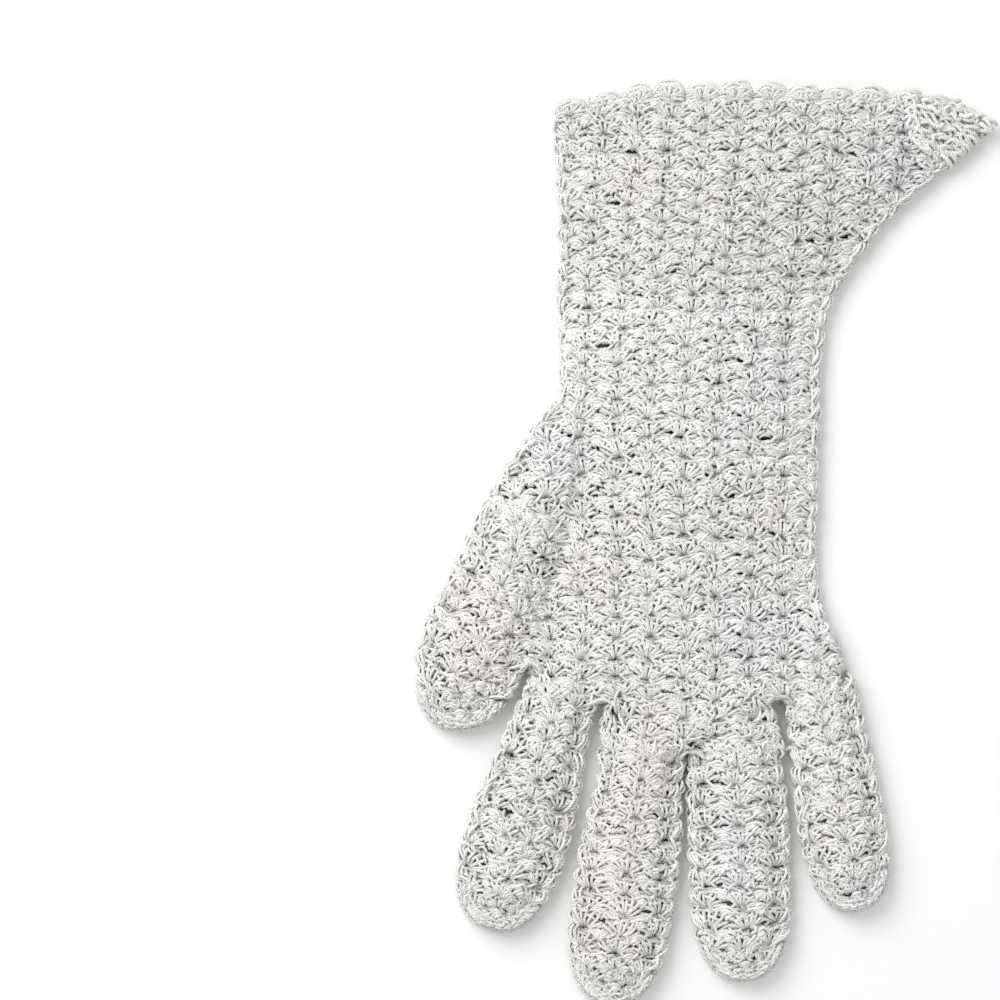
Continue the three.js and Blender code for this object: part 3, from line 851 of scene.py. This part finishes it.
def gusset_grid(settings, back):
    """Shell stitches between the palm and the thumb, in line with the thumb."""
    limb = gusset_limb()
    row = settings.palm_row / TO_METRES
    width = GUSSET_STITCH
    s, d = np.meshgrid(np.arange(-3, 4) * width, np.arange(0, 7) * -row + 0.2)
    s, d = s.ravel(), d.ravel()
    mid = d - row / 2
    x, y = limb.plan(s, mid)
    left = limb.read(limb.left, mid) + FOLD_EXTRA
    inner = np.clip(s, -left + FOLD_INSET, None)
    px, py = limb.plan(inner, mid)
    side = np.where(mid > -8, GUSSET_SIDE - 6, GUSSET_SIDE)
    keep = (s > -left - PAST_FOLD * width) & (s < side) & (mid > GUSSET_TOP - 3)
    keep &= relief().on(px, py, ["hand", "thumb_gusset"])
    return Grid(limb, back, s[keep], d[keep], width, row, fits=over_shells)


def lay_forks(strands):
    """Short strands, one over the other, that close the cloth in the forks of the fingers."""
    rng = strands.rng
    height = np.arange(0.8, 8.4, 0.85)
    shape = (len(height), 6)
    for left, right, y in FORKS:
        x = np.linspace(left - 1.8, right + 1.8, 6) + rng.normal(0, 0.2, shape)
        bow = np.array([-1.6, -0.2, 0.4, 0.4, -0.2, -1.6]) + rng.normal(0, 0.42, shape)
        z = height[:, None] + rng.normal(0, 0.3, shape)
        line = smooth_line(np.stack([x, y + bow, z], axis=-1))
        normal = np.broadcast_to([0.0, -1.0, 0.0], line.shape)
        strands.add(line, normal, 1.1, rng.normal(0, 0.05, (len(height), 1)))


def fold_angle(e):
    """Angle round a fold at a distance over the cloth from the fold's middle."""
    return np.minimum(np.abs(e) / FOLD_RADIUS, math.pi / 2)


def inset(e):
    """How far inwards, seen from above, a distance over the cloth from a fold's middle lies."""
    angle = fold_angle(e)
    return FOLD_RADIUS * (1 - np.cos(angle)) + np.abs(e) - angle * FOLD_RADIUS


def arc_length(x, y):
    """Distance along a line at each of its points."""
    return np.concatenate([[0], np.cumsum(np.hypot(np.diff(x), np.diff(y)))])


class Cap:
    """The closed end of a finger: rounds along its outline with small shells between them."""

    border = 1.9

    def __init__(self, name):
        self.limb = finger_limb(name)
        self.length = FINGERS[name][4]
        self.half, self.reach = round_end(self.limb, self.length)

    def heading(self, turn):
        """Outwards across and along the finger, at an angle from the end."""
        power = 2 - 2 / FULLNESS
        across = np.sign(np.sin(turn)) * np.abs(np.sin(turn)) ** power / self.half
        ahead = np.abs(np.cos(turn)) ** power / self.reach
        size = np.hypot(across, ahead)
        return across / size, ahead / size

    def plan(self, turn, inset):
        """Full ellipse of the outline at an angle from the end, moved inwards."""
        power = 2 / FULLNESS
        t = self.half * np.sign(np.sin(turn)) * np.abs(np.sin(turn)) ** power
        d = self.length - self.reach + self.reach * np.abs(np.cos(turn)) ** power
        across, ahead = self.heading(turn)
        return t - inset * across, d - inset * ahead

    def surface(self, turn, e):
        """e: distance over the cloth from the middle of the fold, below it where negative."""
        t, d = self.plan(turn, inset(e))
        x, y = self.limb.plan(t, d)
        rise = np.sin(fold_angle(e))
        top = self.limb.relief.at(x, y)
        upper = FOLD_RADIUS * (1 + rise) + (top - 2 * FOLD_RADIUS) * rise**2
        lower = FOLD_RADIUS * (1 - rise)
        return np.stack([x, y, np.where(e > 0, upper, lower)], axis=-1)

    def normal(self, turn, e):
        """Outwards from the cloth: sideways at the fold, up or down on the flat."""
        rise = np.sin(np.sign(e) * fold_angle(e))[..., None]
        d = self.plan(turn, 0)[1]
        across, ahead = (part[..., None] for part in self.heading(turn))
        limb = self.limb
        out = limb.read(limb.side, d) * across + limb.read(limb.along, d) * ahead
        return np.concatenate([out * np.sqrt(1 - rise**2), rise], axis=-1)

    def holds(self, s, d, place):
        """Whether points lie on the flat of the cap, inside its rounded border."""
        ahead = (d - self.length + self.reach) / (self.reach - self.border)
        across = np.abs(s) / (self.half - self.border)
        return across**FULLNESS + np.maximum(ahead, 0) ** FULLNESS < 1

    def shells(self, back):
        """Rows of small shell stitches across the flat of the cap."""
        start = self.length - TIP_LENGTH
        s, line = np.meshgrid(np.arange(-2, 3) * TIP_STITCH, start + TIP_ROW * np.arange(1, 4))
        s[1] += TIP_STITCH / 2
        return Grid(
            self.limb, back, s.ravel(), line.ravel(), TIP_STITCH, TIP_ROW, fits=self.holds)

    def lay_round(self, strands, ring):
        """One round of plain stitches at a distance over the cloth from the fold, on two thick
        strands that close the cloth under it."""
        rng = strands.rng
        turn = np.linspace(-1.25, 1.25, 61)
        start = self.length - TIP_LENGTH - 0.6
        turn = turn[self.plan(turn, inset(ring))[1] > start]
        if len(turn) < 4:
            return
        reach = arc_length(*self.plan(turn, inset(ring)))
        count = max(1, round(reach[-1] / TIP_LINK))
        for link in LINK:
            share, across, depth = np.array(link).T
            q = (np.arange(count)[:, None] + share) * (reach[-1] / count)
            e, h = (np.tile(values, (count, 1)) for values in (ring + across, depth))
            q = q + rng.normal(0, 0.25, q.shape)
            e = e + rng.normal(0, 0.25, q.shape)
            q, e, h = columns(smooth_line(np.stack([q, e, h], axis=-1)))
            at = np.interp(q, reach, turn)
            normal = self.normal(at, e)
            place = self.surface(at, e) + normal * h[..., None]
            strands.add(place, normal, 1.0, painted_depth_shade(h, rng))
        for step in (0.0, 1.1):
            e = np.full((1, len(turn)), ring + step)
            normal = self.normal(turn[None], e)
            strands.add(self.surface(turn[None], e) - 1.5 * normal, normal, 1.6, [[0.05]])


# Strands of one scallop: across (share of its width), height and depth
SCALLOP = [
    [(-0.08, -0.6, -1.4), (-0.28, 1.0, -0.6), (-0.46, 2.3, -1.0)],
    [(-0.05, -0.5, -1.3), (-0.20, 1.7, -0.4), (-0.36, 3.3, -0.9)],
    [(-0.02, -0.5, -1.3), (-0.09, 2.0, -0.3), (-0.16, 3.9, -0.9)],
    [(0.02, -0.5, -1.3), (0.07, 2.0, -0.3), (0.12, 4.0, -0.9)],
    [(0.05, -0.5, -1.3), (0.19, 1.7, -0.4), (0.35, 3.4, -0.9)],
    [(0.08, -0.6, -1.4), (0.30, 1.0, -0.6), (0.47, 2.2, -1.0)],
    [(-0.52, 0.9, -1.2), (-0.42, 2.9, -0.7), (-0.24, 4.1, -0.4), (0.0, 4.4, -0.3),
     (0.24, 4.1, -0.4), (0.42, 2.8, -0.7), (0.52, 0.9, -1.2)],
    [(-0.48, 0.7, -1.4), (-0.38, 2.3, -0.6), (-0.2, 3.3, -0.3), (0.0, 3.6, -0.2),
     (0.2, 3.3, -0.3), (0.38, 2.3, -0.6), (0.48, 0.7, -1.4)],
    [(-0.30, 1.6, -1.0), (-0.12, 2.7, -0.1), (0.10, 2.5, -0.9)],
    [(-0.06, 2.0, -1.0), (0.12, 2.9, -0.1), (0.30, 2.0, -0.9)],
    [(-0.5, 0.4, -1.2), (-0.25, 1.0, -0.6), (0.0, 0.3, -1.3), (0.25, 1.0, -0.6), (0.5, 0.4, -1.2)],
    [(-0.5, -0.6, -1.2), (-0.25, -0.1, -0.9), (0.0, -0.7, -1.5), (0.25, -0.1, -0.9),
     (0.5, -0.6, -1.2)],
]


# How far the last scallop leans over towards the corner
CORNER_TURN = math.radians(48.0)


def mouth_line():
    """The line where the edging begins, from the left fold to the right corner."""
    ground = relief()
    owner = ground.owner == ground.names.index("cuff")
    x, y = (ground.low[k] + ground.step * np.arange(ground.last[k] + 1) for k in (0, 1))
    has = owner.any(axis=0)
    top = ground.last[1] - np.argmax(owner[::-1], axis=0)
    return x[has], running_mean(y[top[has]], 11)


def lay_scallops(strands, back):
    """Scallops along the mouth, which lean over where it turns towards the corner."""
    rng = strands.rng
    x, y = mouth_line()
    reach = arc_length(x, y)
    count = round(reach[-1] / SCALLOP_WIDTH)
    pitch = reach[-1] / count
    centre = (np.arange(count) + 0.5) * pitch
    centre += rng.normal(0, 0.35, count)
    lift = rng.normal(1, 0.07, (count, 1))
    for strand in SCALLOP:
        share, height, depth = np.array(strand).T
        shape = (count, len(depth))
        q = centre[:, None] + share * pitch + rng.normal(0, 0.2, shape)
        up = height * lift + rng.normal(0, 0.2, shape)
        points = np.stack([q, up, np.broadcast_to(depth, shape)], axis=-1)
        q, up, h = columns(smooth_line(points))
        turn = CORNER_TURN * np.clip(q / reach[-1], 0, 1) ** 5
        px = np.interp(q, reach, x) + np.sin(turn) * up
        py = np.interp(q, reach, y) + np.cos(turn) * up
        place, normal = body_limb().place(px - MIDDLE_X, WRIST_Y - py, h, back)
        strands.add(place, normal, 1.08, painted_depth_shade(h, rng))


# The corner that turns over: rows of plain stitches, each from a start to an end point
CORNER = [
    ((56.6, 123.2), (80.2, 116.6)),
    ((56.4, 120.0), (79.0, 113.9)),
    ((57.0, 116.9), (76.0, 111.7)),
    ((58.4, 114.0), (73.4, 109.8)),
    ((60.0, 111.3), (70.8, 108.2)),
    ((56.2, 124.4), (58.6, 112.4)),
    ((58.4, 112.8), (68.8, 106.6)),
]


def lay_corner(strands):
    """Rows of large plain stitches over the corner that is turned over."""
    rng = strands.rng
    for start, end in np.array(CORNER):
        reach = np.linalg.norm(end - start)
        along = (end - start) / reach
        across = np.array([-along[1], along[0]])
        count = round(reach / CORNER_LINK)
        for link in LINK:
            share, side, depth = np.array(link).T
            q = (np.arange(count)[:, None] + share) * reach / count
            q = q + rng.normal(0, 0.42, q.shape)
            w = side * 1.4 + rng.normal(0, 0.42, q.shape)
            h = depth + 1.5 + rng.normal(0, 0.3, (count, 1))
            line = smooth_line(np.stack([q, w, h], axis=-1))
            x, y = columns(start + along * line[..., :1] + across * line[..., 1:2])
            h = line[..., 2]
            place, normal = body_limb().place(x - MIDDLE_X, WRIST_Y - y, h, False)
            strands.add(place, normal, 1.2, painted_depth_shade(h - 1.2, rng))


class GLOVE_OT_cuff(bpy.types.Operator):
    """Lays the shell stitches of the flared cuff"""

    bl_idname = "glove.cuff"
    bl_label = "Cuff"

    def execute(self, context):
        settings, new_piece = begin(context, 0, "cuff_cotton", "cuff_colour")
        for back in (False, True):
            piece = new_piece()
            lay_shells(body_grid(settings, back, ["cuff"], -80, 0), piece)
            if not back:
                lines = body_rows(settings)
                lines = lines[(lines > -44) & (lines < 0)]
                lay_edge_loops(piece, body_limb(), lines, 4.9)
            side = "back" if back else "front"
            piece.finish(f"cuff_{side}_stitches", "cuff_cotton", "cuff")
        return {"FINISHED"}


class GLOVE_OT_hand(bpy.types.Operator):
    """Lays the shell stitches of the wrist, palm and back of the hand"""

    bl_idname = "glove.hand"
    bl_label = "Hand"

    def execute(self, context):
        settings, new_piece = begin(context, 1, "hand_cotton")
        for name, low, high in (("wrist", 0, 50), ("palm", 50, 130)):
            front = new_piece()
            lay_shells(body_grid(settings, False, HAND_NODES, low, high), front)
            lines = body_rows(settings)
            for side, last in ((1, 98), (-1, 66)):
                on_side = lines[(lines > low) & (lines < min(high, last))]
                lay_edge_loops(front, body_limb(), on_side, 5.3, (side,))
            if name == "palm":
                lay_forks(front)
            front.finish(f"{name}_front_stitches", "hand_cotton", "hand")
        back = new_piece()
        lay_shells(body_grid(settings, True, HAND_NODES, 0, 130), back)
        back.finish("hand_back_stitches", "hand_cotton", "hand")
        return {"FINISHED"}


class GLOVE_OT_fingers(bpy.types.Operator):
    """Lays the shell stitches of the fingers, the thumb and its gusset"""

    bl_idname = "glove.fingers"
    bl_label = "Fingers"

    def execute(self, context):
        settings, new_piece = begin(context, 2, "finger_cotton")
        row = settings.palm_row / TO_METRES
        for name in FINGERS:
            piece = new_piece()
            limb = finger_limb(name)
            for back in (False, True):
                lay_shells(finger_grid(settings, name, back), piece)
            length, left, right = FINGERS[name][4:]
            for side, first in ((-1, left), (1, right)):
                lines = np.arange(length - TIP_LENGTH, first, -row)
                lay_edge_loops(piece, limb, lines, 5.4, (side,))
                lines = np.arange(0.5, first + 2.0, -3.9)
                reach = 8.4 if (name, side) == ("middle", -1) else 6.0
                lay_edge_loops(piece, limb, lines, 4.2, (side,), reach)
            node = "thumb" if name == "thumb" else f"{name}_finger"
            piece.finish(f"{name}_stitches", "finger_cotton", node)
        gusset = new_piece()
        for back in (False, True):
            lay_shells(gusset_grid(settings, back), gusset)
        lay_edge_loops(gusset, gusset_limb(), np.arange(0, -32, -row), 5.4, (-1,))
        gusset.finish("gusset_stitches", "hand_cotton", "thumb_gusset")
        return {"FINISHED"}


class GLOVE_OT_tips(bpy.types.Operator):
    """Lays the plain rounds that close the fingers and the thumb"""

    bl_idname = "glove.tips"
    bl_label = "Fingertips"

    def execute(self, context):
        _, new_piece = begin(context, 3, "tip_cotton", "tip_colour")
        for name in FINGERS:
            cap = Cap(name)
            piece = new_piece()
            for ring in ROUNDS:
                cap.lay_round(piece, ring)
            for back in (False, True):
                lay_shells(cap.shells(back), piece)
            piece.finish(f"{name}_tip_rounds", "tip_cotton", f"{name}_tip")
        return {"FINISHED"}


class GLOVE_OT_edging(bpy.types.Operator):
    """Lays the scallops round the mouth of the cuff and its turned corner"""

    bl_idname = "glove.edging"
    bl_label = "Edging"

    def execute(self, context):
        _, new_piece = begin(context, 4, "edging_cotton")
        scallops = new_piece()
        for back in (False, True):
            lay_scallops(scallops, back)
        scallops.finish("edging_scallops", "edging_cotton", "cuff_edging")
        corner = new_piece()
        lay_corner(corner)
        corner.finish("turned_corner", "edging_cotton", "cuff_edging")
        return {"FINISHED"}


class GLOVE_OT_stage(bpy.types.Operator):
    """Makes the floor, the soft lights and the camera straight above"""

    bl_idname = "glove.stage"
    bl_label = "Stage"

    def execute(self, context):
        settings = context.scene.glove_stage
        bpy.ops.object.select_all(action="DESELECT")
        bpy.ops.mesh.primitive_plane_add(size=FLOOR_SIZE)
        floor = context.object
        floor.name = "floor"
        paint = bpy.data.materials.new("floor_paint")
        paint.use_nodes = True
        shader = paint.node_tree.nodes["Principled BSDF"]
        shader.inputs["Base Color"].default_value = (*settings.floor_colour, 1)
        shader.inputs["Roughness"].default_value = 0.9
        floor.data.materials.append(paint)
        world = bpy.data.worlds.new("soft_room")
        context.scene.world = world
        world.use_nodes = True
        sky = world.node_tree.nodes["Background"]
        sky.inputs["Color"].default_value = (1, 1, 1, 1)
        sky.inputs["Strength"].default_value = settings.fill_level
        light = bpy.data.lights.new("key", "AREA")
        light.shape = "DISK"
        light.size = KEY_SIZE
        light.energy = settings.key_power
        lamp = bpy.data.objects.new("key", light)
        context.scene.collection.objects.link(lamp)
        lamp.location = KEY_PLACE
        lamp.rotation_euler = (-KEY_PLACE).to_track_quat("-Z", "Y").to_euler()
        camera = bpy.data.cameras.new("camera")
        camera.sensor_width = SENSOR
        camera.lens = SENSOR * settings.camera_height / settings.view_width
        camera.clip_end = FAR_END
        eye = bpy.data.objects.new("camera", camera)
        context.scene.collection.objects.link(eye)
        eye.location = (*VIEW_CENTRE, settings.camera_height)
        context.scene.camera = eye
        context.scene.view_settings.view_transform = "Standard"
        return {"FINISHED"}


class GLOVE_PT_panel(bpy.types.Panel):
    """Lists the glove's pieces and the stage"""

    bl_label = "Crochet glove"
    bl_idname = "GLOVE_PT_panel"
    bl_space_type = "VIEW_3D"
    bl_region_type = "UI"
    bl_category = "Glove"

    def draw(self, context):
        for group in (context.scene.glove, context.scene.glove_stage):
            for name in group.bl_rna.properties.keys():
                if name not in ("rna_type", "name"):
                    self.layout.prop(group, name)
        for operator in OPERATORS:
            self.layout.operator(operator.bl_idname)


OPERATORS = (
    GLOVE_OT_cuff, GLOVE_OT_edging, GLOVE_OT_hand, GLOVE_OT_fingers, GLOVE_OT_tips,
    GLOVE_OT_stage)
CLASSES = (GloveSettings, StageSettings, *OPERATORS, GLOVE_PT_panel)


def register():
    for cls in CLASSES:
        bpy.utils.register_class(cls)
    bpy.types.Scene.glove = PointerProperty(type=GloveSettings)
    bpy.types.Scene.glove_stage = PointerProperty(type=StageSettings)


def unregister():
    del bpy.types.Scene.glove_stage
    del bpy.types.Scene.glove
    for cls in reversed(CLASSES):
        bpy.utils.unregister_class(cls)


def main():
    register()
    bpy.ops.glove.cuff()
    bpy.ops.glove.edging()
    bpy.ops.glove.hand()
    bpy.ops.glove.fingers()
    bpy.ops.glove.tips()
    bpy.ops.glove.stage()


if __name__ == "__main__":
    main()
